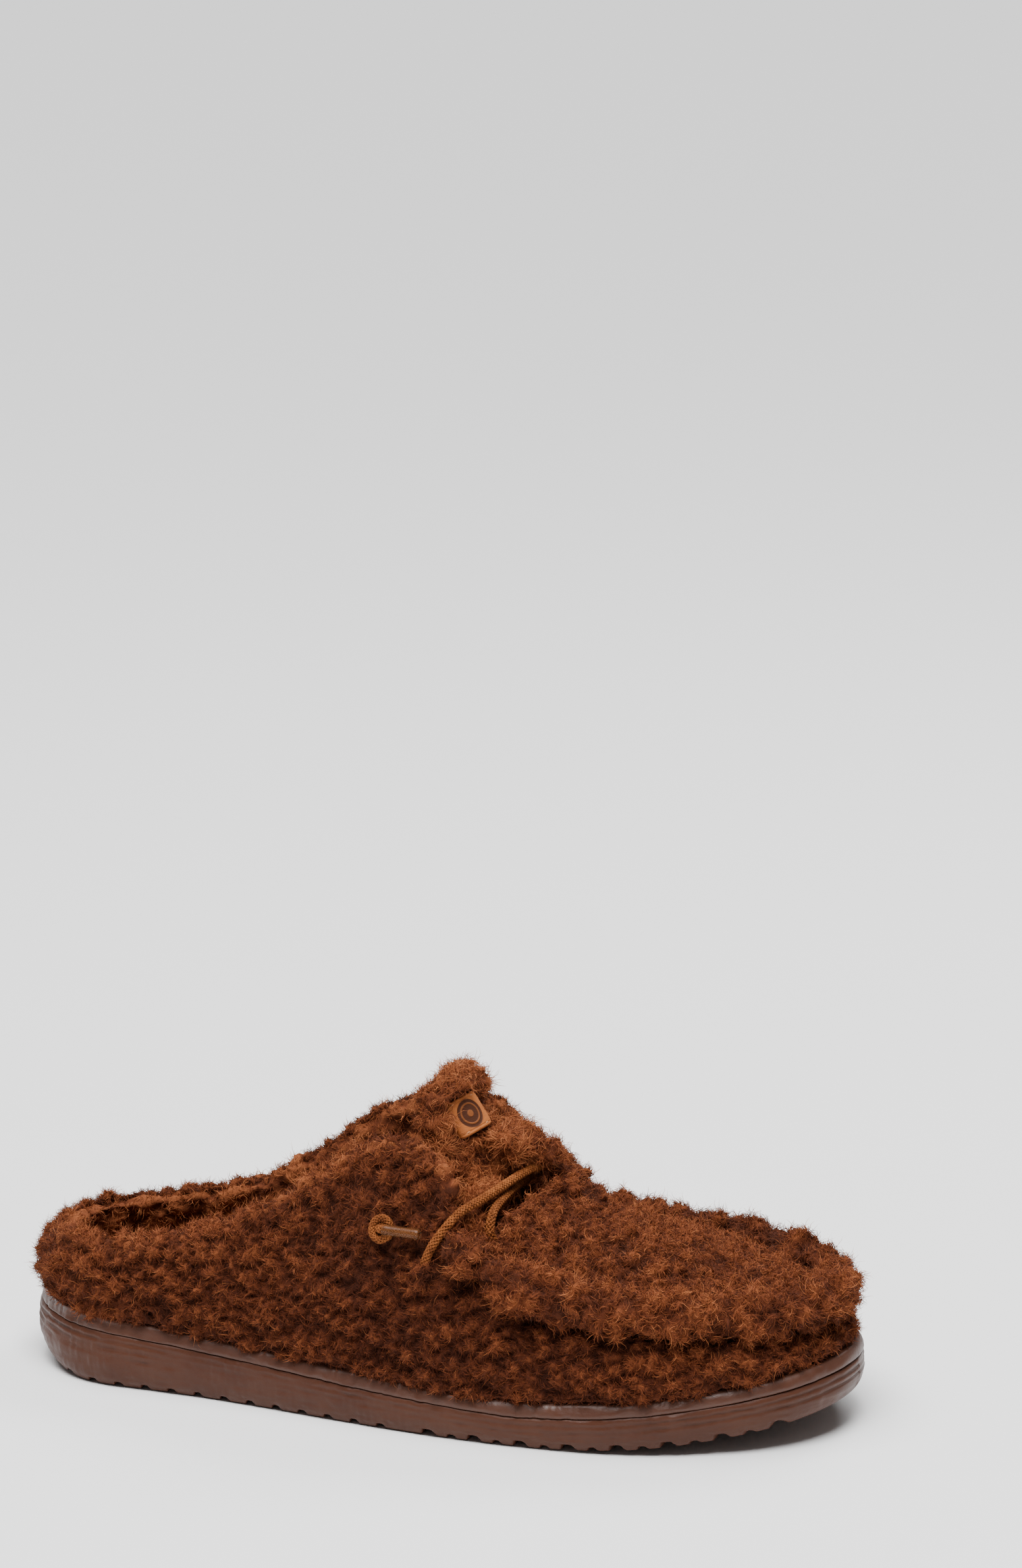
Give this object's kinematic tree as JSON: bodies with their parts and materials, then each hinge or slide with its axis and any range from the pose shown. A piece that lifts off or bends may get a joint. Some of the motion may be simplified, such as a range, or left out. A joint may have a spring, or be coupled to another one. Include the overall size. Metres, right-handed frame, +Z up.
{
  "type": "house slipper",
  "caption": "Fluffy moc-toe slip-on slipper, right foot: sherpa upper with gathered ridge, laced throat, stand-up tongue and notched rubber sole.",
  "frame": {"origin": "middle of the slipper's box, on the floor it stands on", "axes": "+X from heel to toe, +Y to the medial side, +Z up"},
  "size_m": [0.2933, 0.112, 0.1145],
  "materials": {
    "sole_rubber": "matte moulded rubber, brown",
    "band_rubber": "matte moulded rubber, brown",
    "lasting_board": "fibre lasting board",
    "foam": "open-cell foam",
    "sherpa_outer": "curly brown sherpa pile",
    "sherpa_lining": "short brown sherpa pile",
    "counter_sheet": "thermoplastic stiffener",
    "seam_thread": "brown sewing thread",
    "label_leather": "tan leather with a darker pressed mark",
    "label_thread": "light tan thread",
    "lace_cord": "round braided cord, tan",
    "aglet_clear": "clear plastic"
  },
  "bodies": {
    "slipper": {"outsole": "sole_rubber", "midsole_band": "band_rubber", "insole_board": "lasting_board", "strobel_thread": "seam_thread", "footbed_foam": "foam", "footbed_cover": "sherpa_lining", "side_wall": "sherpa_outer", "heel_panel": "sherpa_outer", "heel_counter": "counter_sheet", "wall_lining": "sherpa_lining", "vamp_lining": "sherpa_lining", "vamp_plug": "sherpa_outer", "moc_ridge": "sherpa_outer", "moc_seam_thread": "seam_thread", "heel_seam_thread": "seam_thread", "lace": "lace_cord"},
    "tongue": {"tongue_shell": "sherpa_outer", "tongue_lining": "sherpa_lining", "tongue_label": "label_leather", "label_thread": "label_thread"},
    "lace_tail_lateral": {"lace_end_lateral": "lace_cord", "aglet_lateral": "aglet_clear"},
    "lace_tail_medial": {"lace_end_medial": "lace_cord", "aglet_medial": "aglet_clear"}
  },
  "joints": [
    {"name": "tongue_tilt", "type": "hinge", "parent": "slipper", "child": "tongue", "pos_m": [0.02, -0.0015, 0.079], "axis": [0, 1, 0], "range_deg": [-20, 40]},
    {"name": "lateral_lace_swing", "type": "hinge", "parent": "slipper", "child": "lace_tail_lateral", "pos_m": [-0.00453, -0.04947, 0.07003], "axis": [0.1033, 0.9617, -0.2537], "range_deg": [-25, 85]},
    {"name": "medial_lace_swing", "type": "hinge", "parent": "slipper", "child": "lace_tail_medial", "pos_m": [-0.00494, 0.04291, 0.06968], "axis": [-0.1367, 0.9774, 0.1615], "range_deg": [-25, 85]}
  ]
}
